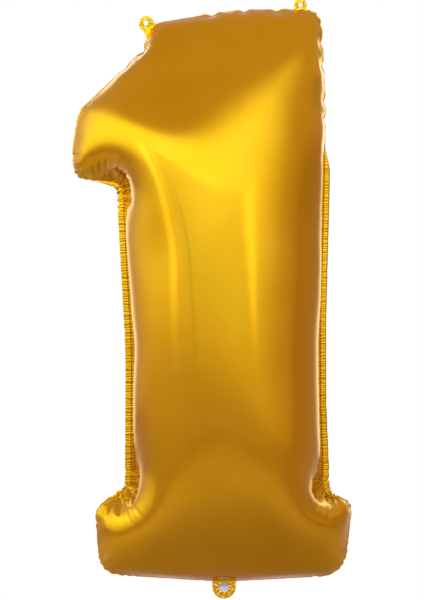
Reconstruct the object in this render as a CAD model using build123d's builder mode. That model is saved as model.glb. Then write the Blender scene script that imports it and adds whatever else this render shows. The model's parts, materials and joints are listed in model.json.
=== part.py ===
"""Foil number balloon shaped as the figure one, inflated, with its filling valve and three punched tabs.

Two sheets of metallised film are welded together round their edge. Each sheet is a dome with a flat
weld margin. A flat tube of two clear films, the valve, passes through the bottom weld. Three tabs stand
out of the margin and bend where they leave it: two for hanging, and one that holds the valve's mouth.

Frame: millimetres, +Z up, +X to the right seen from the front, front towards -Y. The weld lies in the
plane Y = 0. The origin is at the bottom centre of the whole balloon.
"""

from build123d import *
import os
from dataclasses import dataclass
from math import cos, radians, sin

# Outline of the weld, seen from the front.
half_width = 204.0  # from the middle to the nose's tip on the left, and to the foot's end on the right
body_height = 845.0  # weld to weld, bottom to top
foot_left = 167.0  # from the middle to the foot's left end
foot_height = 94.0  # from the bottom weld up to the tops of the foot's two ends
foot_crown = 20.0  # how far the rounding of the foot's ends reaches above that
stem_width = 289.0
stem_centre = 20.5  # the stem stands this far right of the middle
stem_taper = 4.0  # the stem's left edge leans out by this much towards the throat
head_left = 95.0  # from the middle to the head's left shoulder
head_right = 169.0  # from the middle to the head's right edge
shoulder_drop = 34.0  # from the top weld down to the left shoulder
nose_top_drop = 141.0  # from the top weld down to the nose's upper corner
nose_height = 97.0  # from that corner down to the nose's lower edge
throat_height = 22.0  # from the nose's lower edge down to where the stem runs straight

# Depth of one sheet's dome.
stem_depth = 128.0
nose_depth = 112.0
shoulder_depth = 46.0
foot_depth = 86.0
edge_depth = 3.0  # at the top and bottom welds

# Films, drawn thicker than the real ones.
foil_wall = 0.8  # the dome's wall
foil_ply = 0.5  # one sheet's weld margin, and one ply of a tab
valve_ply = 0.3  # one clear valve film
release_ply = 0.1  # the release band printed between the valve films

margin_width = 9.0  # the weld margin outside the dome
fold_clearance = 0.6  # from a fold line to the film on each side of it

# Where the margin carries a tab.
stub_rise = 1.0  # how far the margin reaches past its own width to meet a tab's fold
stub_flare = 9.0  # how much wider than the tab the margin is at the stub's root, each side
stub_depth = 16.0  # from the fold back into the margin

# Filling tab and valve.
filling_x = 18.5
filling_tab_radius = 18.0
filling_neck = 9.0  # from the fold to the centre of the tab's round end
filling_hole_radius = 7.5
filling_hole_reach = 10.0  # from the fold to the hole's centre
valve_width = 28.0
valve_side_clearance = 0.2
valve_tube_length = 120.0  # how far the valve reaches into the balloon
back_lip_overlap = 4.0  # how far the back valve film reaches below the filling hole
front_lip_rise = 1.5  # from the filling hole's centre up to the front valve film's free edge
release_width = 20.0
release_height = 20.0

filling_fold_z = filling_tab_radius + filling_neck
bottom_weld = filling_fold_z + stub_rise + margin_width
top_weld = bottom_weld + body_height
stem_left = stem_centre - stem_width / 2
stem_right = stem_centre + stem_width / 2
nose_top = top_weld - nose_top_drop
nose_bottom = nose_top - nose_height
throat = nose_bottom - throat_height
foot_top = bottom_weld + foot_height
shoulder = top_weld - shoulder_drop
filling_hole_z = filling_fold_z - filling_hole_reach


@dataclass(frozen=True)
class Station:
    """One level of the balloon: its two edges in X and the depth of one dome."""

    z: float
    left: float
    right: float
    depth: float


@dataclass(frozen=True)
class Tab:
    """A round-ended tab that bends along a straight fold."""

    name: str
    x: float  # the fold's middle
    z: float
    lean: float  # degrees from +Z towards -X in which the tab points
    radius: float  # of its round end, and half its width
    neck: float  # from the fold to the centre of the round end
    hole_radius: float
    hole_reach: float  # from the fold to the hole's centre

    @property
    def plane(self) -> Plane:
        """The tab's own plane, seen from the front, with its local Y pointing out along the tab."""
        across = (cos(radians(self.lean)), 0, sin(radians(self.lean)))
        return Plane(origin=(self.x, 0, self.z), x_dir=across, z_dir=(0, -1, 0))


filling_tab = Tab(
    "filling_tab",
    x=filling_x,
    z=filling_fold_z,
    lean=180.0,
    radius=filling_tab_radius,
    neck=filling_neck,
    hole_radius=filling_hole_radius,
    hole_reach=filling_hole_reach,
)
hanging_tabs = [
    Tab(
        "hanging_tab_left",
        x=4 - head_left,
        z=top_weld - 14,
        lean=36.0,
        radius=11.5,
        neck=15.5,
        hole_radius=4.0,
        hole_reach=17.5,
    ),
    Tab(
        "hanging_tab_right",
        x=head_right - 34,
        z=top_weld + margin_width + 5,
        lean=-2.0,
        radius=10.0,
        neck=10.0,
        hole_radius=3.5,
        hole_reach=14.0,
    ),
]


def stations() -> list[Station]:
    """Levels from the bottom weld to the top weld."""
    stem_middle = (foot_top + throat) / 2
    return [
        Station(bottom_weld, 70 - foot_left, half_width - 84, edge_depth),
        Station(bottom_weld + 5, 34 - foot_left, half_width - 40, foot_depth * 0.28),
        Station(bottom_weld + 18, 12 - foot_left, half_width - 16, foot_depth * 0.53),
        Station(bottom_weld + 41, 2 - foot_left, half_width - 6, foot_depth * 0.8),
        Station(bottom_weld + 69, -foot_left, half_width, foot_depth),
        Station(foot_top, 2 - foot_left, half_width - 2, foot_depth * 1.13),
        Station(foot_top + foot_crown, stem_left - 18, stem_right + 15, stem_depth * 0.83),
        Station(foot_top + foot_crown + 26, stem_left, stem_right + 3, stem_depth * 0.88),
        Station(foot_top + stem_width * 0.4, stem_left, stem_right, stem_depth * 0.95),
        Station(stem_middle, stem_left, stem_right, stem_depth),
        Station(throat - stem_width * 0.5, stem_left - stem_taper, stem_right, stem_depth),
        Station(throat, stem_left - 2.5 * stem_taper, stem_right + 3, stem_depth),
        Station(nose_bottom + 3, stem_left - 22, head_right + 1, stem_depth * 0.98),
        Station(nose_bottom + 17, 14 - half_width, head_right + 2, stem_depth * 0.96),
        Station(nose_bottom + 37, -half_width, head_right + 2, (stem_depth + nose_depth) / 2),
        Station(nose_bottom + 68, -half_width, head_right, nose_depth),
        Station(nose_top, 10 - half_width, head_right, nose_depth * 0.91),
        Station(nose_top + 38, 51 - half_width, head_right - 2, nose_depth * 0.78),
        Station(shoulder - 30, -head_left - 25, head_right - 8, nose_depth * 0.6),
        Station(shoulder, -head_left, head_right - 11, shoulder_depth),
        Station(top_weld - 22, 11 - head_left, head_right - 14, shoulder_depth * 0.75),
        Station(top_weld - 12, 31 - head_left, head_right - 18, shoulder_depth * 0.5),
        Station(top_weld, 100 - head_left, head_right - 30, edge_depth),
    ]


def levels(inset: float) -> list[Station]:
    """The stations of the balloon made smaller by inset all round."""
    smaller = []
    for level in stations():
        left = level.left + inset
        right = level.right - inset
        z = min(max(level.z, bottom_weld + inset), top_weld - inset)
        smaller.append(Station(z, left, right, level.depth - inset))
    return smaller


def dome(inset: float) -> Part:
    """The half of the balloon in front of the weld, solid, and smaller by inset all round."""
    with BuildPart() as half:
        for level in levels(inset):
            with BuildSketch(Plane.XY.offset(level.z)):
                with Locations(((level.left + level.right) / 2, 0)):
                    Ellipse((level.right - level.left) / 2, level.depth)
        loft(ruled=True)
        split(bisect_by=Plane.XZ, keep=Keep.TOP)
    return half.part


def weld_outline(inset: float) -> Sketch:
    """The dome's edge in the weld plane, drawn in that plane's own coordinates."""
    rows = levels(inset)
    corners = [(row.left, row.z) for row in rows] + [(row.right, row.z) for row in reversed(rows)]
    with BuildSketch() as outline:
        with BuildLine():
            Polyline(corners, close=True)
        make_face()
    return outline.sketch


def panel() -> Part:
    """The front foil's dome, standing on the weld margin's front face."""
    outer = dome(0)
    inner = dome(foil_wall)
    with BuildPart() as shell:
        add(outer)
        add(inner, mode=Mode.SUBTRACT)
        split(bisect_by=Plane.XZ.offset(foil_ply), keep=Keep.TOP)
    return shell.part


def margin() -> Part:
    """The front foil's flat weld margin, with the tabs' stubs and the valve's recess."""
    dome_edge = weld_outline(0)
    hollow_edge = weld_outline(foil_wall)
    with BuildSketch() as flat:
        add(dome_edge)
        offset(amount=margin_width)
        for tab in [filling_tab, *hanging_tabs]:
            with Locations(Location((tab.x, tab.z, 0), (0, 0, tab.lean))):
                Polygon(
                    (-tab.radius, -fold_clearance),
                    (tab.radius, -fold_clearance),
                    (tab.radius + stub_flare, -stub_depth),
                    (-tab.radius - stub_flare, -stub_depth),
                    align=None,
                )
        add(hollow_edge, mode=Mode.SUBTRACT)
    with BuildPart() as ply:
        extrude(to_extrude=Plane.XZ * flat.sketch, amount=foil_ply)
    return valve_recess(ply.part, filling_fold_z, bottom_weld + margin_width)


def tab_ply(tab: Tab) -> Part:
    """The front ply of a tab, from its fold to its round end, with its punched hole."""
    with BuildPart() as ply:
        with BuildSketch(tab.plane):
            with Locations((0, (fold_clearance + tab.neck) / 2)):
                Rectangle(2 * tab.radius, tab.neck - fold_clearance)
            with Locations((0, tab.neck)):
                Circle(tab.radius)
            with Locations((0, -tab.radius)):
                Rectangle(4 * tab.radius, 2 * (tab.radius + fold_clearance), mode=Mode.SUBTRACT)
            with Locations((0, tab.hole_reach)):
                Circle(tab.hole_radius, mode=Mode.SUBTRACT)
        extrude(amount=foil_ply)
    return ply.part


def valve_film(low: float, high: float) -> Part:
    """The front valve film between two heights, with a shallow channel along its inner side."""
    channel = release_ply / 2
    with BuildPart() as film:
        with Locations((filling_x, -valve_ply / 2, (low + high) / 2)):
            Box(valve_width, valve_ply, high - low)
        with Locations((filling_x, -channel / 2, (low + high) / 2)):
            Box(release_width, channel, high - low, mode=Mode.SUBTRACT)
    return film.part


def valve_recess(ply: Part, low: float, high: float) -> Part:
    """A ply with a recess on its inner side, between two heights, for the valve film."""
    with BuildPart() as cut:
        add(ply)
        with Locations((filling_x, -valve_ply / 2, (low + high) / 2)):
            Box(
                valve_width + 2 * valve_side_clearance,
                valve_ply,
                high - low,
                mode=Mode.SUBTRACT,
            )
    return cut.part


def release_band() -> Part:
    """The printed band that keeps the valve films from welding to each other at the foil's weld."""
    with BuildPart() as band:
        with Locations((filling_x, 0, bottom_weld)):
            Box(release_width, release_ply, release_height)
    return band.part


def front_and_back(front_name: str, front: Part, back_name: str, back: Part) -> dict[str, Part]:
    """A front piece as it is, and a second piece turned over to the back of the weld."""
    return {front_name: front, back_name: mirror(back, about=Plane.XZ)}


foil_panel = panel()
weld_margin = margin()

# The front valve film ends half way up the filling hole, so that the valve's mouth opens in the hole.
front_lip_low = filling_hole_z + front_lip_rise
back_lip_low = filling_hole_z - filling_hole_radius - back_lip_overlap
lip_high = filling_fold_z - fold_clearance
filling_ply = tab_ply(filling_tab)
valve_tube = valve_film(filling_fold_z + fold_clearance, bottom_weld + valve_tube_length)

pieces = front_and_back("front_foil_panel", foil_panel, "back_foil_panel", foil_panel)
pieces |= front_and_back("front_weld_margin", weld_margin, "back_weld_margin", weld_margin)
for tab in hanging_tabs:
    ply = tab_ply(tab)
    pieces |= front_and_back(f"{tab.name}_front_ply", ply, f"{tab.name}_back_ply", ply)
pieces |= front_and_back(
    "filling_tab_front_ply",
    valve_recess(filling_ply, front_lip_low, filling_fold_z),
    "filling_tab_back_ply",
    valve_recess(filling_ply, back_lip_low, filling_fold_z),
)
pieces |= front_and_back("valve_front_film", valve_tube, "valve_back_film", valve_tube)
pieces |= front_and_back(
    "valve_front_lip",
    valve_film(front_lip_low, lip_high),
    "valve_back_lip",
    valve_film(back_lip_low, lip_high),
)
pieces["valve_release_band"] = release_band()

os.makedirs("parts", exist_ok=True)
for name, piece in pieces.items():
    piece.label = name
    export_step(piece, f"parts/{name}.step")
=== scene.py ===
"""Foil number balloon shaped as the figure one, blown up from a flat pattern of two welded films."""

import json
import logging
import math
from dataclasses import dataclass, field
from enum import Enum

import bpy
import numpy as np
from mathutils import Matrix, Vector
from mathutils.geometry import delaunay_2d_cdt
from mathutils.kdtree import KDTree


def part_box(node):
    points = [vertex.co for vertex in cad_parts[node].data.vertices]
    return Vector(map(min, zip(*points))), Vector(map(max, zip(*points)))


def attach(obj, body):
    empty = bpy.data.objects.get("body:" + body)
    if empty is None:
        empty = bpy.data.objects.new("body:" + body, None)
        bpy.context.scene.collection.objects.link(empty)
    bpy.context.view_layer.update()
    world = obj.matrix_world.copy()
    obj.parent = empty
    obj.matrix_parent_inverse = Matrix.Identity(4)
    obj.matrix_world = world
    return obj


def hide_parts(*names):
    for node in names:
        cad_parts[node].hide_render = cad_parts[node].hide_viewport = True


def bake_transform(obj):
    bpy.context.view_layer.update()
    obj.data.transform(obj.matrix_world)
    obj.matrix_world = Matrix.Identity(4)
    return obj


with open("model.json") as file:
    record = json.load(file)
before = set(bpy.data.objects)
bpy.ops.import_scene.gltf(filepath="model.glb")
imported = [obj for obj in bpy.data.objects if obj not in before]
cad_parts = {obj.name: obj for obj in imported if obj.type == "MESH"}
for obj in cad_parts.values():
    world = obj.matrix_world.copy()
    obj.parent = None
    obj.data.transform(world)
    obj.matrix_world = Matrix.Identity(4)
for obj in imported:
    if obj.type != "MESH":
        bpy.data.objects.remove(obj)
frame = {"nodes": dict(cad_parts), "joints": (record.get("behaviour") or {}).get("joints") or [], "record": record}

logging.basicConfig(level=logging.INFO, format="%(message)s")
LOG = logging.getLogger("balloon")
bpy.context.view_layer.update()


class Side(Enum):
    """Which of the two welded films, with the sign of its outward direction along Y."""

    FRONT = -1
    BACK = 1

    @property
    def word(self) -> str:
        """The side's name in lower case."""
        return self.name.lower()


@dataclass(frozen=True)
class Corner:
    """A rounded corner of the weld line."""

    x: float
    z: float
    radius: float


@dataclass
class FlatPattern:
    """The weld line of the balloon, anticlockwise from the front, from the foot's left end.

    The corners are the filled balloon's. The flat films are wider than that, so the cut line starts as the filled
    one drawn out from its middle, and each trial filling then lets it out or takes it in where the weld misses.
    """

    margin: float = 0.009
    middle: tuple[float, float] = (0.020, 0.460)
    widening: float = 1.20
    lengthening: float = 1.04
    rounding: float = 0.010
    fine_step: float = 0.001
    corners: list[Corner] = field(
        default_factory=lambda: [
            Corner(-0.172, 0.038, 0.032),
            Corner(0.016, 0.026, 0.600),
            Corner(0.203, 0.036, 0.040),
            Corner(0.215, 0.149, 0.014),
            Corner(0.172, 0.162, 0.018),
            Corner(0.166, 0.304, 0.900),
            Corner(0.166, 0.427, 0.900),
            Corner(0.171, 0.611, 0.900),
            Corner(0.174, 0.749, 0.900),
            Corner(0.167, 0.904, 0.026),
            Corner(0.035, 0.902, 0.450),
            Corner(-0.092, 0.881, 0.022),
            Corner(-0.106, 0.840, 0.012),
            Corner(-0.205, 0.746, 0.022),
            Corner(-0.214, 0.688, 0.030),
            Corner(-0.211, 0.643, 0.020),
            Corner(-0.138, 0.638, 0.018),
            Corner(-0.1235, 0.381, 1.200),
            Corner(-0.1245, 0.166, 0.018),
            Corner(-0.179, 0.139, 0.014),
        ]
    )

    def __post_init__(self) -> None:
        """Draw the first cut line out from the filled one."""
        x, z = self.middle
        self.cut = [
            Corner(x + (c.x - x) * self.widening, z + (c.z - z) * self.lengthening, c.radius + self.rounding)
            for c in self.corners
        ]

    def cut_line(self, spacing: float) -> np.ndarray:
        """Points along the cut weld line, evenly spaced, as (x, z) rows."""
        return self._rounded(self.cut, spacing)

    def refit(self, cut_line: np.ndarray, moves: np.ndarray) -> None:
        """Move each cut corner as its point of the cut line is told to.

        Args:
            cut_line: (x, z) rows from cut_line.
            moves: an (x, z) move for each of them.
        """
        at = nearest(np.array([(c.x, c.z) for c in self.cut]), cut_line)[0]
        self.cut = [
            Corner(c.x + float(across), c.z + float(up), c.radius) for c, (across, up) in zip(self.cut, moves[at])
        ]

    def filled_places(self, cut_line: np.ndarray) -> np.ndarray:
        """Where each point of the cut weld line sits once the balloon is filled.

        Args:
            cut_line: (x, z) rows from cut_line.

        Returns:
            (x, z) rows.
        """
        filled = self._rounded(self.corners, self.fine_step)
        cut_at, filled_at = self._corner_places(cut_line, self.cut), self._corner_places(filled, self.corners)
        cut_runs = np.r_[(cut_at - cut_at[0]) % len(cut_line), len(cut_line)]
        filled_runs = np.r_[(filled_at - filled_at[0]) % len(filled), len(filled)]
        place = np.interp((np.arange(len(cut_line)) - cut_at[0]) % len(cut_line), cut_runs, filled_runs)
        filled = np.roll(filled, -filled_at[0], 0)
        loop = np.vstack([filled, filled[:1]])
        index = np.arange(len(loop))
        return np.stack([np.interp(place, index, loop[:, k]) for k in range(2)], 1)

    @staticmethod
    def _corner_places(line: np.ndarray, corners: list[Corner]) -> np.ndarray:
        """The index of the line's point that is closest to each corner."""
        return np.array([int(np.argmin(np.hypot(line[:, 0] - c.x, line[:, 1] - c.z))) for c in corners])

    def _rounded(self, corners: list[Corner], spacing: float) -> np.ndarray:
        """Points along a rounded outline.

        Args:
            corners: its corners.
            spacing: distance between points, in metres.

        Returns:
            An array of (x, z) rows, evenly spaced.
        """
        path: list[np.ndarray] = []
        count = len(corners)
        for index, corner in enumerate(corners):
            here = np.array([corner.x, corner.z])
            before, after = corners[index - 1], corners[(index + 1) % count]
            back = np.array([before.x, before.z]) - here
            ahead = np.array([after.x, after.z]) - here
            path.extend(self._arc(here, back, ahead, corner.radius))
        return evenly_spaced(np.array(path), spacing)

    @staticmethod
    def _arc(here: np.ndarray, back: np.ndarray, ahead: np.ndarray, radius: float) -> list[np.ndarray]:
        """Points of one rounded corner.

        Args:
            here: the corner.
            back: vector to the corner before.
            ahead: vector to the corner after.
            radius: wanted radius, cut down where its neighbours leave no room.

        Returns:
            Points along the arc, first to last.
        """
        shortest = min(np.linalg.norm(back), np.linalg.norm(ahead))
        back, ahead = back / np.linalg.norm(back), ahead / np.linalg.norm(ahead)
        half = math.acos(float(np.clip(back @ ahead, -1, 1))) / 2
        run = min(radius / math.tan(half), 0.49 * shortest)
        radius = run * math.tan(half)
        middle = back + ahead
        centre = here + middle / np.linalg.norm(middle) * radius / math.sin(half)
        first, last = here + back * run - centre, here + ahead * run - centre
        start = math.atan2(first[1], first[0])
        turn = (math.atan2(last[1], last[0]) - start + math.pi) % math.tau - math.pi
        steps = max(3, int(abs(turn) * radius / 0.002))
        angles = start + turn * np.linspace(0, 1, steps + 1)
        return [centre + radius * np.array([math.cos(a), math.sin(a)]) for a in angles]


def evenly_spaced(path: np.ndarray, spacing: float) -> np.ndarray:
    """Points at equal steps along a closed path.

    Args:
        path: (x, z) rows of the closed path.
        spacing: wanted step in metres.

    Returns:
        An array of (x, z) rows.
    """
    loop = np.vstack([path, path[:1]])
    steps = np.linalg.norm(np.diff(loop, axis=0), axis=1)
    keep = np.r_[True, steps > 1e-9]
    run = np.r_[0, np.cumsum(steps)][keep]
    loop = loop[keep]
    at = np.linspace(0, run[-1], int(round(run[-1] / spacing)), endpoint=False)
    return np.stack([np.interp(at, run, loop[:, 0]), np.interp(at, run, loop[:, 1])], 1)


def moved_out(outline: np.ndarray, distance: float) -> np.ndarray:
    """A closed anticlockwise outline moved outwards along its normals.

    Args:
        outline: (x, z) rows.
        distance: how far, in metres.

    Returns:
        The moved rows.
    """
    along = np.roll(outline, -1, 0) - np.roll(outline, 1, 0)
    along /= np.linalg.norm(along, axis=1)[:, None]
    return outline + distance * np.stack([along[:, 1], -along[:, 0]], 1)


def inside(points: np.ndarray, outline: np.ndarray) -> np.ndarray:
    """Which points lie inside a closed outline.

    Args:
        points: (x, z) rows.
        outline: (x, z) rows.

    Returns:
        A boolean for each point.
    """
    odd = np.zeros(len(points), bool)
    for (x0, z0), (x1, z1) in zip(outline, np.roll(outline, -1, 0)):
        if z0 == z1:
            continue
        spans = (z0 > points[:, 1]) != (z1 > points[:, 1])
        crossing = x0 + (points[:, 1] - z0) * (x1 - x0) / (z1 - z0)
        odd ^= spans & (points[:, 0] < crossing)
    return odd


def nearest(points: np.ndarray, targets: np.ndarray) -> tuple[np.ndarray, np.ndarray]:
    """For each point, the closest target.

    Args:
        points: rows of two or three coordinates.
        targets: rows of as many coordinates.

    Returns:
        The index of the closest target and the distance to it, for each point.
    """
    tree = KDTree(len(targets))
    for index, target in enumerate(targets):
        tree.insert(Vector([*target, 0.0][:3]), index)
    tree.balance()
    found = [tree.find(Vector([*point, 0.0][:3])) for point in points]
    return np.array([f[1] for f in found]), np.array([f[2] for f in found])


def triangle_lattice(low: np.ndarray, high: np.ndarray, spacing: float) -> np.ndarray:
    """Points of a triangular lattice that fills a box.

    Args:
        low: lowest (x, z).
        high: highest (x, z).
        spacing: distance between neighbours in metres.

    Returns:
        (x, z) rows.
    """
    rows = []
    for index, z in enumerate(np.arange(low[1], high[1], spacing * math.sqrt(0.75))):
        xs = np.arange(low[0] + spacing / 2 * (index % 2), high[0], spacing)
        rows.append(np.stack([xs, np.full(len(xs), z)], 1))
    return np.vstack(rows)


@dataclass(frozen=True)
class Notch:
    """A place on the edge where the film is gathered, so that a pleat runs in from the weld."""

    x: float
    z: float
    depth: float = 0.0028
    reach: float = 0.030
    width: float = 0.0055


@dataclass(frozen=True)
class CreaseFan:
    """Creases that spread from a hollow corner across the film, as angles in degrees above the X axis."""

    x: float
    z: float
    angles: tuple[float, float]
    count: int
    near: float
    far: float
    depth: float = 0.0016
    width: float = 0.0026

    def depths(self, points: np.ndarray, seed: int) -> np.ndarray:
        """How far the fan presses each point in.

        Args:
            points: (x, y, z) rows.
            seed: number that settles the creases' small differences.

        Returns:
            One depth for each point.
        """
        chance = np.random.default_rng(seed)
        across, up = points[:, 0] - self.x, points[:, 2] - self.z
        radius, angle = np.hypot(across, up), np.arctan2(up, across)
        pressed = np.zeros(len(points))
        for share in np.linspace(0, 1, self.count):
            lean = self.angles[0] + (self.angles[1] - self.angles[0]) * share + chance.uniform(-2.5, 2.5)
            off = (angle - math.radians(lean) + math.pi) % math.tau - math.pi
            end = self.far - (self.far - self.near) * chance.uniform(0.0, 0.45)
            rise = np.clip((radius - self.near) / 0.010, 0, 1) * np.clip((end - radius) / 0.022, 0, 1)
            spread = radius * off / (self.width * chance.uniform(0.8, 1.2))
            groove = np.exp(-(spread**2)) - 0.25 * np.exp(-((np.abs(spread) - 1.8) ** 2))
            pressed += self.depth * chance.uniform(0.6, 1.1) * groove * rise * (np.abs(off) < 1)
        return pressed


@dataclass
class EdgePleats:
    """Pleats square to the weld: close together where it turns, and sparse where it runs straight."""

    seed: int = 11
    turn_span: float = 0.024
    busy_turn: float = 9.0
    close: float = 0.013
    fanned: float = 0.0085
    sparse: float = 0.060
    notches: list[Notch] = field(
        default_factory=lambda: [
            Notch(0.004, 0.882, 0.0034),
            Notch(0.050, 0.897),
            Notch(0.098, 0.897),
            Notch(0.172, 0.852, 0.0034),
            Notch(0.175, 0.816, 0.0030),
            Notch(0.178, 0.762),
            Notch(0.178, 0.735, 0.0024),
            Notch(-0.100, 0.838, 0.0034),
            Notch(-0.130, 0.806, 0.0020),
        ]
    )

    fans: list[CreaseFan] = field(
        default_factory=lambda: [
            CreaseFan(-0.166, 0.611, (108.0, 38.0), 9, 0.030, 0.078),
            CreaseFan(-0.148, 0.178, (-38.0, -100.0), 8, 0.018, 0.072, 0.0014),
            CreaseFan(0.188, 0.184, (-66.0, -140.0), 9, 0.018, 0.066, 0.0013),
        ]
    )

    def turning(self, loop: np.ndarray) -> np.ndarray:
        """How sharply a closed loop turns at each point.

        Args:
            loop: (x, z) rows.

        Returns:
            Radians a metre for each point, positive where the loop is convex.
        """
        ahead, back = np.roll(loop, -1, 0) - loop, loop - np.roll(loop, 1, 0)
        cross = back[:, 0] * ahead[:, 1] - back[:, 1] * ahead[:, 0]
        turn = np.arctan2(cross, (ahead * back).sum(1))
        step = float(np.linalg.norm(ahead, axis=1).mean())
        half = max(round(self.turn_span / step), 1)
        window = sum(np.roll(turn, k) for k in range(-half, half + 1))
        return window / ((2 * half + 1) * step)

    def creased(self, turn: np.ndarray) -> np.ndarray:
        """How finely creased the film is along the weld, most of all in hollow corners.

        Args:
            turn: values from turning.

        Returns:
            A share from 0 to 1 for each point of the weld.
        """
        share = np.clip(np.abs(turn) / self.busy_turn, 0, 1) * np.where(turn < 0, 1.0, 0.25)
        for _ in range(8):
            share = (np.roll(share, 1) + share + np.roll(share, -1)) / 3
        return share

    def depth(self, bag: "BlownBag") -> np.ndarray:
        """How far the pleats press each of the bag's points in, in metres.

        Args:
            bag: the bag, with its weld and its distances from it.

        Returns:
            One depth for each point.
        """
        chance = np.random.default_rng(self.seed)
        loop = bag.flat[bag.weld]
        step = np.linalg.norm(np.roll(loop, -1, 0) - loop, axis=1)
        run = np.r_[0.0, np.cumsum(step)[:-1]]
        whole = float(step.sum())
        turn = bag.turn
        pressed, here = np.zeros(len(bag.points)), 0.0
        at = run[bag.to_weld]
        while here < whole - self.close / 2:
            sharp = float(turn[int(np.searchsorted(run, here, "right")) - 1])
            busy = min(abs(sharp) / self.busy_turn, 1.0)
            reach = (0.018 + 0.030 * busy if sharp < 0 else 0.014 + 0.016 * busy) * chance.uniform(0.6, 1.25)
            depth = (0.0003 + (0.0026 if sharp < 0 else 0.0013) * busy) * chance.uniform(0.5, 1.2)
            hollow = busy if sharp < 0 else 0.0
            width = (0.0032 + 0.0016 * (1 - busy) - 0.0008 * hollow) * chance.uniform(0.8, 1.3)
            pressed += self._pleat(at - here, bag.weld_gap, whole, depth, reach, width)
            near = self.close * (1 - hollow) + self.fanned * hollow
            here += (near * busy + self.sparse * (1 - busy)) * chance.uniform(0.65, 1.35)
        places = bag.points[bag.weld][:, [0, 2]]
        for notch in self.notches:
            middle = run[int(np.argmin(np.hypot(places[:, 0] - notch.x, places[:, 1] - notch.z)))]
            pressed += self._pleat(at - middle, bag.weld_gap, whole, notch.depth, notch.reach, notch.width)
        for index, fan in enumerate(self.fans):
            pressed += fan.depths(bag.points, self.seed + index)
        return pressed

    @staticmethod
    def _pleat(
        along: np.ndarray, gap: np.ndarray, whole: float, depth: float, reach: float, width: float
    ) -> np.ndarray:
        """One pleat: a groove on the weld, with a soft swell on each side, that dies away inward.

        Args:
            along: each point's distance from the pleat's middle along the weld.
            gap: each point's distance from the weld.
            whole: the weld's length.
            depth: depth of the groove.
            reach: how far inward the pleat runs.
            width: its half width at the weld.

        Returns:
            One depth for each point.
        """
        along = (along + whole / 2) % whole - whole / 2
        spread = along / (width * (1 + 1.6 * gap / reach))
        groove = np.exp(-(spread**2)) - 0.28 * np.exp(-((np.abs(spread) - 2.0) ** 2))
        fade = np.clip(1 - gap / reach, 0, 1)
        return depth * groove * fade * fade * (3 - 2 * fade)


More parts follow.
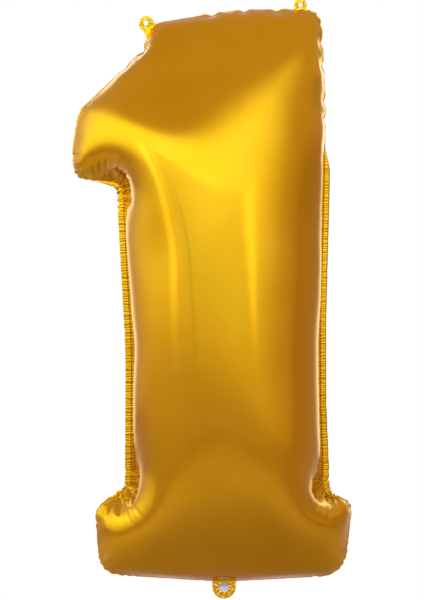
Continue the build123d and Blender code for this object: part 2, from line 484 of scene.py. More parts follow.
@dataclass
class BlownBag:
    """Two films welded along the pattern's outline and blown up by pressure, then pleated at the weld.

    Points are shared by both films along the weld; front and back list the films' triangles.
    """

    pattern: FlatPattern
    pleats: EdgePleats
    spacing: float = 0.0125
    first_depth: float = 0.03
    seam_clearance: float = 0.72
    frames: int = 38
    fittings: int = 4
    taken_up: float = 0.7
    calm: int = 40
    settle_passes: int = 600
    relax_from: float = 0.025
    relax_band: float = 0.050
    relax_passes: int = 40
    splits: int = 2
    margin_rings: int = 3
    tucked_margin: float = 0.05
    open_from: float = 0.150
    open_out_left: float = 0.172
    open_out_right: float = 0.195
    open_to_left: float = 0.650
    open_to_right: float = 0.675
    open_ramp: float = 0.020
    ruffle: float = 0.0006

    def build(self) -> None:
        """Lay the films flat, weld them, blow them up, refine them and pleat them."""
        for trial in range(self.fittings + 1):
            self._lay_out()
            self._inflate()
            self._even_out(self.calm)
            seam = self.flat[self.weld]
            missed = self.pattern.filled_places(seam) - self.points[self.weld][:, [0, 2]]
            far = np.hypot(missed[:, 0], missed[:, 1]) * 1000
            LOG.info("filling %d: the weld is off by %.1f mm, %.1f mm at most", trial, far.mean(), far.max())
            if trial < self.fittings:
                self.pattern.refit(seam, missed * self.taken_up)
        self._settle()
        self._relax()
        for _ in range(self.splits):
            self._split()
            self._even_out(3)
        self.to_weld, self.weld_gap = nearest(self.flat, self.flat[self.weld])
        self.turn = self.pleats.turning(self.points[self.weld][:, [0, 2]])
        self.points += self._normals() * -self.pleats.depth(self)[:, None]
        self._make_margin()

    def _lay_out(self) -> None:
        """Make the flat mesh of both films."""
        seam = self.pattern.cut_line(self.spacing)
        lattice = triangle_lattice(seam.min(0) - self.spacing, seam.max(0) + self.spacing, self.spacing)
        lattice = lattice[inside(lattice, seam)]
        lattice = lattice[nearest(lattice, seam)[1] > self.seam_clearance * self.spacing]
        flat = np.vstack([seam, lattice])
        rim, film = len(seam), len(flat)
        edges = [(i, (i + 1) % rim) for i in range(rim)]
        result = delaunay_2d_cdt([Vector(p) for p in flat], edges, [list(range(rim))], 1, 1e-7)
        triangles = np.array([t for t in result[2] if len(t) == 3])
        depth = np.minimum(0.5 * nearest(flat, seam)[1], self.first_depth)
        depth[:rim] = 0
        self.weld = np.arange(rim)
        self.flat = np.vstack([flat, flat[rim:]])
        self.points = np.stack([self.flat[:, 0], np.r_[-depth, depth[rim:]], self.flat[:, 1]], 1)
        behind = np.r_[np.arange(rim), film + np.arange(film - rim)]
        self.front = self._facing(triangles, Side.FRONT)
        self.back = self._facing(behind[triangles], Side.BACK)

    def _facing(self, triangles: np.ndarray, side: Side) -> np.ndarray:
        """Turn triangles so that they face outward.

        Args:
            triangles: rows of three point indices.
            side: the film that they belong to.

        Returns:
            The same rows, reversed where they faced inward.
        """
        a, b, c = (self.points[triangles[:, k]] for k in range(3))
        wrong = np.cross(b - a, c - a)[:, 1] * side.value < 0
        turned = triangles.copy()
        turned[wrong] = turned[wrong][:, ::-1]
        return turned

    def _inflate(self) -> None:
        """Run the cloth simulation and keep the places its points reach."""
        rim, whole = len(self.weld), len(self.points)
        ring = moved_out(self.flat[self.weld], self.pattern.margin)
        vertices = np.vstack([self.points, np.stack([ring[:, 0], 0 * ring[:, 0], ring[:, 1]], 1)])
        faces = [tuple(map(int, t)) for t in np.vstack([self.front, self.back])]
        for i in range(rim):
            j = (i + 1) % rim
            faces += [(i, j, whole + j), (i, whole + j, whole + i)]
        mesh = bpy.data.meshes.new("blown_bag")
        mesh.from_pydata([tuple(v) for v in vertices], [], faces)
        bag = bpy.data.objects.new("blown_bag", mesh)
        scene = bpy.context.scene
        scene.collection.objects.link(bag)
        blown = bag.vertex_groups.new(name="blown")
        blown.add(list(range(whole)), 1.0, "REPLACE")
        cloth = bag.modifiers.new("film", "CLOTH")
        film = cloth.settings
        film.quality = 5
        film.mass = 0.15
        film.tension_stiffness = 40
        film.compression_stiffness = 4
        film.shear_stiffness = 12
        film.bending_model = "ANGULAR"
        film.bending_stiffness = 0.05
        film.tension_damping = film.compression_damping = film.shear_damping = 5
        film.bending_damping = 0.5
        film.air_damping = 3
        film.use_pressure = True
        film.uniform_pressure_force = 3
        film.vertex_group_pressure = "blown"
        film.effector_weights.gravity = 0
        cloth.collision_settings.use_collision = False
        cloth.collision_settings.use_self_collision = False
        cloth.point_cache.frame_end = self.frames + 2
        scene.frame_start, scene.frame_end = 1, self.frames
        for step in range(1, self.frames + 1):
            scene.frame_set(step)
        shaped = bag.evaluated_get(bpy.context.evaluated_depsgraph_get()).data
        places = np.empty(len(shaped.vertices) * 3, np.float32)
        shaped.vertices.foreach_get("co", places)
        self.points = places.reshape(-1, 3)[:whole].astype(float)
        bpy.data.objects.remove(bag)
        bpy.data.meshes.remove(mesh)
        scene.frame_set(1)
        self.points[:, 1] -= self.points[self.weld, 1].mean()

    def _edges(self) -> tuple[np.ndarray, np.ndarray]:
        """List the bag's edges.

        Returns:
            Rows of two point indices, and for each of the three sides of each triangle, its edge's index.
        """
        faces = np.vstack([self.front, self.back])
        sides = np.sort(np.vstack([faces[:, [0, 1]], faces[:, [1, 2]], faces[:, [2, 0]]]), axis=1)
        edges, index = np.unique(sides, axis=0, return_inverse=True)
        return edges, index.reshape(3, -1)

    def _even_out(self, passes: int) -> None:
        """Smooth ripples out of the film and the weld without shrinking them.

        Args:
            passes: pairs of a smoothing step and a swelling step.
        """
        edges = self._edges()[0]
        one, other = edges.T
        count = len(self.points)
        around = np.bincount(one, minlength=count) + np.bincount(other, minlength=count)
        for _ in range(passes):
            for step in (0.55, -0.57):
                total = np.stack(
                    [
                        np.bincount(one, self.points[other, k], count) + np.bincount(other, self.points[one, k], count)
                        for k in range(3)
                    ],
                    1,
                )
                rim = self.points[self.weld]
                moved = self.points + step * (total / around[:, None] - self.points)
                middle = (np.roll(rim, 1, 0) + np.roll(rim, -1, 0)) / 2
                moved[self.weld] = rim + step * (middle - rim)
                self.points = moved

    def _relax(self) -> None:
        """Take the last slow dents out of the middle of the film, and leave its edges as they are."""
        gap = nearest(self.flat, self.flat[self.weld])[1]
        weight = np.clip((gap - self.relax_from) / self.relax_band, 0, 1)[:, None] * 0.5
        one, other = self._edges()[0].T
        count = len(self.points)
        around = (np.bincount(one, minlength=count) + np.bincount(other, minlength=count))[:, None]

        def soften(values: np.ndarray) -> np.ndarray:
            """Average each value with its neighbours, many times.

            Args:
                values: (x, y, z) rows.

            Returns:
                The softened rows.
            """
            for _ in range(self.relax_passes):
                total = [
                    np.bincount(one, values[other, k], count) + np.bincount(other, values[one, k], count)
                    for k in range(3)
                ]
                values = values + weight * (np.stack(total, 1) / around - values)
            return values

        soft = soften(self.points)
        soft += soften(self.points - soft)
        self.points = soft

    def _settle(self) -> None:
        """Carry the weld to its filled line, and the film with it, as smoothly as a soap film would go."""
        target = self.pattern.filled_places(self.flat[self.weld])
        one, other = self._edges()[0].T
        count = len(self.points)
        around = np.bincount(one, minlength=count) + np.bincount(other, minlength=count)
        for column, axis in enumerate((0, 2)):
            shift = np.zeros(count)
            wanted = target[:, column] - self.points[self.weld, axis]
            for _ in range(self.settle_passes):
                shift[self.weld] = wanted
                shift = (np.bincount(one, shift[other], count) + np.bincount(other, shift[one], count)) / around
            shift[self.weld] = wanted
            self.points[:, axis] += shift

    def _split(self) -> None:
        """Split each triangle into four."""
        edges, (ab, bc, ca) = self._edges()
        count = len(self.points)
        self.points = np.vstack([self.points, self.points[edges].mean(1)])
        self.flat = np.vstack([self.flat, self.flat[edges].mean(1)])
        ab, bc, ca = ab + count, bc + count, ca + count
        a, b, c = np.vstack([self.front, self.back]).T
        films = len(self.front)
        parts = [np.stack(t, 1) for t in ((a, ab, ca), (ab, b, bc), (ca, bc, c), (ab, bc, ca))]
        self.front = np.vstack([part[:films] for part in parts])
        self.back = np.vstack([part[films:] for part in parts])
        code = {(int(i), int(j)): count + n for n, (i, j) in enumerate(edges)}
        loop = []
        for i, j in zip(self.weld, np.roll(self.weld, -1)):
            loop += [int(i), code[(int(min(i, j)), int(max(i, j)))]]
        self.weld = np.array(loop)

    def _normals(self) -> np.ndarray:
        """Find the closed bag's outward directions.

        Returns:
            A unit (x, y, z) row for each point.
        """
        faces = np.vstack([self.front, self.back])
        a, b, c = (self.points[faces[:, k]] for k in range(3))
        flat = np.cross(b - a, c - a)
        out = np.zeros_like(self.points)
        for k in range(3):
            np.add.at(out, faces[:, k], flat)
        return out / np.linalg.norm(out, axis=1)[:, None]

    def _make_margin(self) -> None:
        """Lay the weld margin outside the weld: open along the stem, and drawn in between the lobes elsewhere."""
        rim = self.points[self.weld]
        span = np.roll(rim, -2, 0) - np.roll(rim, 2, 0)
        out = np.stack([span[:, 2], 0 * span[:, 0], -span[:, 0]], 1)
        out /= np.linalg.norm(out, axis=1)[:, None]
        loop = self.flat[self.weld]
        top = np.where(rim[:, 0] < 0, self.open_to_left, self.open_to_right)
        shown = ((rim[:, 2] > self.open_from) & (rim[:, 2] < top)).astype(float)
        reach = np.where(rim[:, 0] < 0, self.open_out_left, self.open_out_right)
        shown *= np.clip((reach - np.abs(rim[:, 0])) / self.open_ramp, 0, 1)
        for _ in range(24 if self.splits > 1 else 6):
            shown = (np.roll(shown, 1) + shown + np.roll(shown, -1)) / 3
        shown = self.tucked_margin + (1 - self.tucked_margin) * shown
        step = float(np.linalg.norm(np.roll(loop, -1, 0) - loop, axis=1).mean())
        self.run = np.arange(len(loop)) * step
        wave = np.sin(self.run * 560 + 1.7 * np.sin(self.run * 47)) * (0.5 + 0.5 * np.sin(self.run * 83 + 1.0))
        self.margin, self.margin_flat = [], []
        for ring in range(1, self.margin_rings + 1):
            width = self.pattern.margin * ring / self.margin_rings
            places = rim + out * (width * shown)[:, None]
            places[:, 1] += self.ruffle * wave * ring / self.margin_rings
            self.margin.append(places)
            self.margin_flat.append(moved_out(loop, width))


def new_piece(name: str, vertices: np.ndarray, faces: list[tuple[int, ...]]) -> bpy.types.Object:
    """A mesh object at the origin, shaded smooth.

    Args:
        name: the piece's name.
        vertices: (x, y, z) rows in the row frame.
        faces: vertex index tuples.

    Returns:
        The new object.
    """
    mesh = bpy.data.meshes.new(name)
    mesh.from_pydata([tuple(map(float, v)) for v in vertices], [], faces)
    mesh.polygons.foreach_set("use_smooth", [True] * len(mesh.polygons))
    mesh.update()
    piece = bpy.data.objects.new(name, mesh)
    bpy.context.scene.collection.objects.link(piece)
    return piece


def set_uv(piece: bpy.types.Object, name: str, per_vertex: np.ndarray) -> None:
    """Store a two-column value of each vertex as a UV map.

    Args:
        piece: the mesh object.
        name: the UV map's name.
        per_vertex: (u, v) rows, one for each vertex.
    """
    layer = piece.data.uv_layers.new(name=name)
    corner_vertex = np.empty(len(piece.data.loops), np.int32)
    piece.data.loops.foreach_get("vertex_index", corner_vertex)
    layer.data.foreach_set("uv", per_vertex[corner_vertex].astype(np.float32).ravel())


def add_wall(piece: bpy.types.Object, thickness: float, smooth_levels: int = 0) -> None:
    """Smooth a film and give it a thickness.

    Args:
        piece: the film.
        thickness: its wall in metres.
        smooth_levels: subdivision levels, or 0 for none.
    """
    if smooth_levels:
        smooth = piece.modifiers.new("smooth", "SUBSURF")
        smooth.levels = smooth.render_levels = smooth_levels
    wall = piece.modifiers.new("wall", "SOLIDIFY")
    wall.thickness = thickness
    wall.offset = -1


@dataclass
class FoilSheet:
    """One of the two foil films: its dome and its ply of the weld margin.

    Its UV maps are pattern, each point's place in the flat film, where a print would go; weld, the distances along
    the weld and in from it; and gather, how finely creased the weld is there.
    """

    side: Side
    wall: float = 0.0003
    ply_gap: float = 0.0004

    def build(self, bag: BlownBag, dome: bpy.types.Material, margin: bpy.types.Material) -> bpy.types.Object:
        """Cut this side's film from the blown bag and dress it.

        Args:
            bag: the blown bag.
            dome: finish of the dome.
            margin: finish of the weld margin.

        Returns:
            The finished piece.
        """
        triangles = bag.front if self.side is Side.FRONT else bag.back
        used, film = np.unique(triangles, return_inverse=True)
        faces = [tuple(map(int, t)) for t in film.reshape(-1, 3)]
        dome_faces, count = len(faces), len(bag.weld)
        row = list(np.searchsorted(used, bag.weld))
        for ring in range(bag.margin_rings):
            outer = [len(used) + ring * count + i for i in range(count)]
            for i in range(count):
                j = (i + 1) % count
                face = (row[i], outer[i], outer[j], row[j])
                faces.append(tuple(map(int, face if self.side is Side.FRONT else face[::-1])))
            row = outer
        rings = np.vstack(bag.margin)
        rings[:, 1] += self.side.value * self.ply_gap
        piece = new_piece(f"{self.side.word}_foil", np.vstack([bag.points[used], rings]), faces)
        for finish in (dome, margin):
            piece.data.materials.append(finish)
        on_margin = [0] * dome_faces + [1] * (len(faces) - dome_faces)
        piece.data.polygons.foreach_set("material_index", on_margin)
        pattern = np.vstack([bag.flat[used], *bag.margin_flat])
        set_uv(piece, "pattern", pattern)
        widths = bag.pattern.margin * np.arange(1, bag.margin_rings + 1) / bag.margin_rings
        run = np.r_[bag.run[bag.to_weld[used]], np.tile(bag.run, bag.margin_rings)]
        gap = np.r_[bag.weld_gap[used], -np.repeat(widths, count)]
        set_uv(piece, "weld", np.stack([run, gap], 1))
        busy = bag.pleats.creased(bag.turn)
        spread = np.r_[busy[bag.to_weld[used]], np.tile(busy, bag.margin_rings)]
        set_uv(piece, "gather", np.stack([spread, 0 * spread], 1))
        add_wall(piece, self.wall)
        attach(piece, "balloon")
        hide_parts(f"{self.side.word}_foil_panel", f"{self.side.word}_weld_margin")
        return piece


@dataclass
class PunchedTab:
    """A tab of both foil films, laid flat from its fold, with its stub lying on the weld margin."""

    name: str
    body: str
    joint: str
    mount: str
    half_width: float
    neck: float
    hole_radius: float
    squareness: float = 2.0
    stub: float = 0.014
    flare: float = 0.008
    wall: float = 0.00015
    ply_gap: float = 0.00045
    crinkle: float = 0.0007
    spokes: int = 72
    rings: int = 10

    def __post_init__(self) -> None:
        """Read the fold's place and the tab's direction from the frame."""
        joint = next(j for j in frame["joints"] if j["name"] == self.joint)
        mount = next(m for m in frame["record"]["mounts"] if m["name"] == self.mount)
        self.fold = Vector(joint["pos_m"])
        self.across = Vector(joint["axis"]).normalized()
        to_hole = Vector(mount["pos_m"]) - self.fold
        self.hole_reach = to_hole.length
        self.out = to_hole.normalized()

    def _outline(self) -> np.ndarray:
        """Draw the tab's flat shape, with its flared stub.

        Returns:
            (across, out) rows.
        """
        head = []
        for angle in np.linspace(0, math.pi, 33):
            c, s = math.cos(angle), math.sin(angle)
            power = 2 / self.squareness
            x = math.copysign(abs(c) ** power, c) * self.half_width
            head.append((x, self.neck + abs(s) ** power * self.half_width))
        wide = self.half_width + self.flare
        return np.array([*head, (-self.half_width, 0), (-wide, -self.stub), (wide, -self.stub), (self.half_width, 0)])

    def _rim_distance(self, outline: np.ndarray, angle: float) -> float:
        """Distance from the hole's centre to the outline.

        Args:
            outline: (across, out) rows.
            angle: direction in radians.

        Returns:
            The distance in metres.
        """
        centre = np.array([0.0, self.hole_reach])
        ray = np.array([math.cos(angle), math.sin(angle)])
        best = 1.0
        for a, b in zip(outline, np.roll(outline, -1, 0)):
            edge = b - a
            cross = ray[0] * edge[1] - ray[1] * edge[0]
            if abs(cross) < 1e-12:
                continue
            offset = a - centre
            along = (offset[0] * edge[1] - offset[1] * edge[0]) / cross
            share = (offset[0] * ray[1] - offset[1] * ray[0]) / cross
            if along > 0 and -1e-9 <= share <= 1 + 1e-9:
                best = min(best, along)
        return best

    def _grid(self) -> tuple[np.ndarray, list[tuple[int, ...]]]:
        """Fill the tab's flat shape from the hole's edge to the outline.

        Returns:
            Points as (across, out) rows, and the faces between them.
        """
        outline, points = self._outline(), []
        angles = np.arange(self.spokes) * math.tau / self.spokes
        reach = [self._rim_distance(outline, a) for a in angles]
        for ring in range(self.rings + 1):
            share = (ring / self.rings) ** 1.2
            for angle, far in zip(angles, reach):
                r = self.hole_radius + share * (far - self.hole_radius)
                points.append((r * math.cos(angle), self.hole_reach + r * math.sin(angle)))
        faces = []
        for ring in range(self.rings):
            for spoke in range(self.spokes):
                a, b = ring * self.spokes + spoke, ring * self.spokes + (spoke + 1) % self.spokes
                faces.append((a, a + self.spokes, b + self.spokes, b))
        return np.array(points), faces

    def _crumple(self, point: tuple[float, float]) -> float:
        """How far the film stands off its plane: soft waves, and pleats that run out from the hole.

        Args:
            point: its (across, out) place in the tab.

        Returns:
            The distance in metres.
        """
        across, out = point
        radius = math.hypot(across, out - self.hole_reach)
        angle = math.atan2(out - self.hole_reach, across)
        pleats = math.sin(angle * 9 + 2.1 * math.sin(angle * 2)) * math.exp(-((radius - self.hole_radius) / 0.006) ** 2)
        waves = math.sin(across * 610 + 1.3 * math.sin(out * 420)) * math.sin(out * 530 + across * 200)
        return self.crinkle * (0.55 * pleats + 0.6 * waves)

    def build(self, bag: BlownBag, finish: bpy.types.Material) -> list[bpy.types.Object]:
        """Make the front and back plies.

        Args:
            bag: the blown bag, whose margin the tab's stub lies on.
            finish: the tab's finish.

        Returns:
            The two pieces.
        """
        points, faces = self._grid()
        places = [self.fold + self.across * p[0] + self.out * p[1] for p in points]
        weld = np.vstack([bag.points[bag.weld], *bag.margin])
        on_weld = weld[nearest(np.array([(p.x, p.z) for p in places]), weld[:, [0, 2]])[0], 1]
        pieces = []
        for side in Side:
            vertices = []
            for point, place, weld_y in zip(points, places, on_weld):
                share = min(max(-point[1] / (0.4 * self.stub), 0.0), 1.0)
                share = share * share * (3 - 2 * share)
                lift = self._crumple(point) * (1 - share) + weld_y * share
                gap = self.ply_gap * (1 - 0.8 * share)
                vertices.append((place.x, place.y + lift + side.value * gap, place.z))
            facing_front = self.across.cross(self.out).y < 0
            turned = faces if facing_front == (side is Side.FRONT) else [f[::-1] for f in faces]
            piece = new_piece(f"{self.name}_{side.word}", np.array(vertices), turned)
            piece.data.materials.append(finish)
            set_uv(piece, "pattern", points)
            add_wall(piece, self.wall, smooth_levels=1)
            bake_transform(piece)
            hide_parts(f"{self.name}_{side.word}_ply")
            pieces.append(piece)
        return pieces


@dataclass
class ValveFilms:
    """The two clear films of the filling valve, from inside the balloon to the filling tab's hole."""

    crinkle: float = 0.00012
    wall: float = 0.0001
    step: float = 0.0012

    def build(self, finish: bpy.types.Material) -> list[bpy.types.Object]:
        """Make both films, each through its CAD nodes' places.

        Args:
            finish: the clear film's finish.

        Returns:
            The two pieces.
        """
        pieces = []
        for side in Side:
            tube, lip = f"valve_{side.word}_film", f"valve_{side.word}_lip"
            (tube_low, tube_high), (low, high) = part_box(tube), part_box(lip)
            tube_y, lip_y = (tube_low.y + tube_high.y) / 2, (low.y + high.y) / 2
            width, height = high.x - low.x, tube_high.z - low.z
            columns, rows = round(width / self.step), round(height / (2 * self.step))
            vertices, faces, flat = [], [], []
            for row in range(rows + 1):
                for column in range(columns + 1):
                    x, z = low.x + width * column / columns, low.z + height * row / rows
                    inner = min(max((z - high.z) / 0.004, 0.0), 1.0)
                    wave = math.sin(x * 900 + 2 * math.sin(z * 500)) * math.sin(z * 800)
                    y = lip_y + (tube_y - lip_y) * inner + self.crinkle * wave * (1 - inner)
                    vertices.append((x, y, z))
                    flat.append((x, z))
            for row in range(rows):
                for column in range(columns):
                    a = row * (columns + 1) + column
                    faces.append((a, a + 1, a + columns + 2, a + columns + 1))
            turned = faces if side is Side.FRONT else [f[::-1] for f in faces]
            piece = new_piece(f"{tube}_sheet", np.array(vertices), turned)
            piece.data.materials.append(finish)
            set_uv(piece, "pattern", np.array(flat))
            add_wall(piece, self.wall)
            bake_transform(piece)
            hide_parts(tube, lip)
            pieces.append(piece)
        return pieces


class Sheen(Enum):
    """How polished a foil surface is, as its roughness."""

    STRETCHED = 0.14
    CRUMPLED = 0.16


@dataclass
class NodeBench:
    """Places and joins nodes in one tree."""

    tree: bpy.types.NodeTree

    def add(self, kind: str, **settings: object) -> bpy.types.Node:
        """Add a node.

        Args:
            kind: the node's type name.
            settings: its properties.

        Returns:
            The node.
        """
        node = self.tree.nodes.new(kind)
        for name, value in settings.items():
            setattr(node, name, value)
        return node

    def join(self, start: bpy.types.NodeSocket, end: bpy.types.NodeSocket) -> None:
        """Link an output to an input."""
        self.tree.links.new(start, end)

    def combine(self, kind: str, first: object, second: object) -> bpy.types.NodeSocket:
        """Combine two values, each a socket or a number.

        Args:
            kind: the Math node's operation.
            first: first value.
            second: second value.

        Returns:
            The result's socket.
        """
        node = self.add("ShaderNodeMath", operation=kind)
        for socket, value in zip(node.inputs, (first, second)):
            if isinstance(value, bpy.types.NodeSocket):
                self.join(value, socket)
            else:
                socket.default_value = value
        return node.outputs[0]

    def fade(self, value: bpy.types.NodeSocket, low: float, high: float) -> bpy.types.NodeSocket:
        """Rise smoothly from 0 at low to 1 at high, or fall where low is the greater.

        Args:
            value: the value to follow.
            low: where the result is 0.
            high: where the result is 1.

        Returns:
            The result's socket.
        """
        node = self.add("ShaderNodeMapRange", interpolation_type="SMOOTHSTEP")
        self.join(value, node.inputs["Value"])
        node.inputs["From Min"].default_value, node.inputs["From Max"].default_value = min(low, high), max(low, high)
        ends = (0.0, 1.0) if low < high else (1.0, 0.0)
        node.inputs["To Min"].default_value, node.inputs["To Max"].default_value = ends
        return node.outputs["Result"]


def effect_group(name: str, inputs: dict[str, float], outputs: tuple[str, ...]) -> tuple[NodeBench, object, object]:
    """Start a shader node group with a coordinate input.

    Args:
        name: the group's name.
        inputs: its number inputs and their first values.
        outputs: its number outputs.

    Returns:
        Its bench, its input node and its output node.
    """
    tree = bpy.data.node_groups.new(name, "ShaderNodeTree")
    tree.interface.new_socket("Coordinate", in_out="INPUT", socket_type="NodeSocketVector")
    for label, value in inputs.items():
        socket = tree.interface.new_socket(label, in_out="INPUT", socket_type="NodeSocketFloat")
        socket.default_value = value
    for label in outputs:
        tree.interface.new_socket(label, in_out="OUTPUT", socket_type="NodeSocketFloat")
    bench = NodeBench(tree)
    return bench, bench.add("NodeGroupInput"), bench.add("NodeGroupOutput")


class FoilEffects:
    """The shader node groups that the foil finishes share."""

    def __init__(self) -> None:
        """Build each group once."""
        self.grain = self._grain()
        self.pucker = self._pucker()
        self.crimp = self._crimp()

    @staticmethod
    def _grain() -> bpy.types.NodeTree:
        """Faint orange peel of a stretched film, and slow clouds in its polish.

        Returns:
            The node group.
        """
        bench, start, end = effect_group("Film grain", {"Peel size": 260.0, "Cloud size": 9.0}, ("Height", "Clouds"))
        peel = bench.add("ShaderNodeTexNoise")
        peel.inputs["Detail"].default_value = 3.0
        clouds = bench.add("ShaderNodeTexNoise")
        clouds.inputs["Detail"].default_value = 2.0
        for node, size in ((peel, "Peel size"), (clouds, "Cloud size")):
            bench.join(start.outputs["Coordinate"], node.inputs["Vector"])
            bench.join(start.outputs[size], node.inputs["Scale"])
        bench.join(peel.outputs["Fac"], end.inputs["Height"])
        bench.join(clouds.outputs["Fac"], end.inputs["Clouds"])
        return bench.tree

    @staticmethod
    def _along(bench: NodeBench, start: object, run: float, gap: float) -> bpy.types.NodeSocket:
        """Stretch the weld coordinate so that a pattern runs across the weld.

        Args:
            bench: the group's bench.
            start: its input node.
            run: scale along the weld.
            gap: scale away from the weld.

        Returns:
            The stretched coordinate's socket.
        """
        mapping = bench.add("ShaderNodeMapping")
        mapping.inputs["Scale"].default_value = (run, gap, 1.0)
        bench.join(start.outputs["Coordinate"], mapping.inputs["Vector"])
        return mapping.outputs["Vector"]

    @classmethod
    def _pucker(cls) -> bpy.types.NodeTree:
        """Fine creases that run square to the weld and die away from it.

        Returns:
            The node group.
        """
        bench, start, end = effect_group("Weld pucker", {"Reach": 0.045, "Pitch": 0.0075}, ("Height",))
        split = bench.add("ShaderNodeSeparateXYZ")
        bench.join(start.outputs["Coordinate"], split.inputs[0])
        noise = bench.add("ShaderNodeTexNoise", noise_dimensions="2D")
        noise.inputs["Scale"].default_value = 1.0
        bench.join(cls._along(bench, start, 75.0, 16.0), noise.inputs["Vector"])
        turns = bench.combine("DIVIDE", split.outputs["X"], start.outputs["Pitch"])
        warped = bench.combine("ADD", turns, bench.combine("MULTIPLY", noise.outputs["Fac"], 3.0))
        wave = bench.combine("COSINE", bench.combine("MULTIPLY", warped, math.tau), 0.0)
        crease = bench.combine("POWER", bench.combine("ADD", bench.combine("MULTIPLY", wave, 0.5), 0.5), 6.0)
        share = bench.combine("DIVIDE", split.outputs["Y"], start.outputs["Reach"])
        ragged = bench.combine("ADD", share, bench.combine("MULTIPLY", noise.outputs["Fac"], 0.5))
        faded = bench.combine("MULTIPLY", crease, bench.fade(ragged, 1.1, 0.3))
        bench.join(bench.combine("MULTIPLY", faded, -1.0), end.inputs["Height"])
        return bench.tree

    @classmethod
    def _crimp(cls) -> bpy.types.NodeTree:
        """Cross ribs that the sealing iron leaves in the weld margin.

        Returns:
            The node group.
        """
        bench, start, end = effect_group("Weld crimp", {"Pitch": 0.0045}, ("Height",))
        split = bench.add("ShaderNodeSeparateXYZ")
        bench.join(start.outputs["Coordinate"], split.inputs[0])
        noise = bench.add("ShaderNodeTexNoise", noise_dimensions="2D")
        noise.inputs["Scale"].default_value = 1.0
        bench.join(cls._along(bench, start, 70.0, 25.0), noise.inputs["Vector"])
        turns = bench.combine("DIVIDE", split.outputs["X"], start.outputs["Pitch"])
        warped = bench.combine("ADD", turns, bench.combine("MULTIPLY", noise.outputs["Fac"], 2.5))
        wave = bench.combine("SINE", bench.combine("MULTIPLY", warped, math.tau), 0.0)
        bench.join(bench.combine("MULTIPLY", wave, noise.outputs["Fac"]), end.inputs["Height"])
        return bench.tree


@dataclass(frozen=True)
class GoldFoil:
    """Metallised film under a gold lacquer."""

    name: str
    sheen: Sheen
    colour: tuple[float, float, float, float] = (0.72, 0.43, 0.012, 1.0)
    deep: tuple[float, float, float, float] = (0.68, 0.395, 0.008, 1.0)
    peel: float = 0.00002
    pucker: float = 0.0
    crimp: float = 0.0

    def material(self, effects: FoilEffects) -> bpy.types.Material:
        """Build the material.

        Args:
            effects: the shared node groups.

        Returns:
            The material.
        """
        material = bpy.data.materials.new(self.name)
        material.use_nodes = True
        bench = NodeBench(material.node_tree)
        shader = bench.tree.nodes["Principled BSDF"]
        shader.inputs["Metallic"].default_value = 1.0
        where = bench.add("ShaderNodeTexCoord").outputs["Object"]
        grain = bench.add("ShaderNodeGroup", node_tree=effects.grain)
        grain.inputs["Peel size"].default_value, grain.inputs["Cloud size"].default_value = 260.0, 9.0
        bench.join(where, grain.inputs["Coordinate"])
        tint = bench.add("ShaderNodeMix", data_type="RGBA")
        tint.inputs["A"].default_value, tint.inputs["B"].default_value = self.colour, self.deep
        bench.join(bench.fade(grain.outputs["Clouds"], 0.35, 0.65), tint.inputs["Factor"])
        bench.join(tint.outputs["Result"], shader.inputs["Base Color"])
        drift = bench.combine("MULTIPLY", bench.combine("SUBTRACT", grain.outputs["Clouds"], 0.5), 0.08)
        bench.join(bench.combine("ADD", drift, self.sheen.value), shader.inputs["Roughness"])
        height = bench.combine("MULTIPLY", grain.outputs["Height"], self.peel)
        weld = bench.add("ShaderNodeUVMap", uv_map="weld").outputs["UV"] if self.pucker or self.crimp else None
        for depth, tree in ((self.pucker, effects.pucker), (self.crimp, effects.crimp)):
            if depth:
                group = bench.add("ShaderNodeGroup", node_tree=tree)
                bench.join(weld, group.inputs["Coordinate"])
                share = bench.combine("MULTIPLY", group.outputs["Height"], depth)
                if tree is effects.pucker:
                    gather = bench.add("ShaderNodeSeparateXYZ")
                    bench.join(bench.add("ShaderNodeUVMap", uv_map="gather").outputs["UV"], gather.inputs[0])
                    share = bench.combine("MULTIPLY", share, gather.outputs["X"])
                height = bench.combine("ADD", height, share)
        bump = bench.add("ShaderNodeBump")
        bump.inputs["Distance"].default_value = 1.0
        bench.join(height, bump.inputs["Height"])
        bench.join(bump.outputs["Normal"], shader.inputs["Normal"])
        return material


@dataclass(frozen=True)
class ClearFilm:
    """Thin milky film of the filling valve."""

    name: str
    colour: tuple[float, float, float, float] = (0.80, 0.78, 0.86, 1.0)
    clearness: float = 0.45

    def material(self, effects: FoilEffects) -> bpy.types.Material:
        """Build the material.

        Args:
            effects: the shared node groups.

        Returns:
            The material.
        """
        material = bpy.data.materials.new(self.name)
        material.use_nodes = True
        bench = NodeBench(material.node_tree)
        shader = bench.tree.nodes["Principled BSDF"]
        shader.inputs["IOR"].default_value = 1.5
        grain = bench.add("ShaderNodeGroup", node_tree=effects.grain)
        grain.inputs["Peel size"].default_value, grain.inputs["Cloud size"].default_value = 180.0, 120.0
        bench.join(bench.add("ShaderNodeTexCoord").outputs["Object"], grain.inputs["Coordinate"])
        tint = bench.add("ShaderNodeMix", data_type="RGBA")
        tint.inputs["A"].default_value = self.colour
        tint.inputs["B"].default_value = (0.62, 0.60, 0.68, 1.0)
        bench.join(grain.outputs["Clouds"], tint.inputs["Factor"])
        bench.join(tint.outputs["Result"], shader.inputs["Base Color"])
        milk = bench.combine("MULTIPLY", bench.combine("SUBTRACT", grain.outputs["Clouds"], 0.5), 0.4)
        bench.join(bench.combine("ADD", milk, 1 - self.clearness), shader.inputs["Alpha"])
        shader.inputs["Roughness"].default_value = 0.18
        bump = bench.add("ShaderNodeBump")
        bump.inputs["Distance"].default_value = 0.0002
        bench.join(grain.outputs["Height"], bump.inputs["Height"])
        bench.join(bump.outputs["Normal"], shader.inputs["Normal"])
        return material


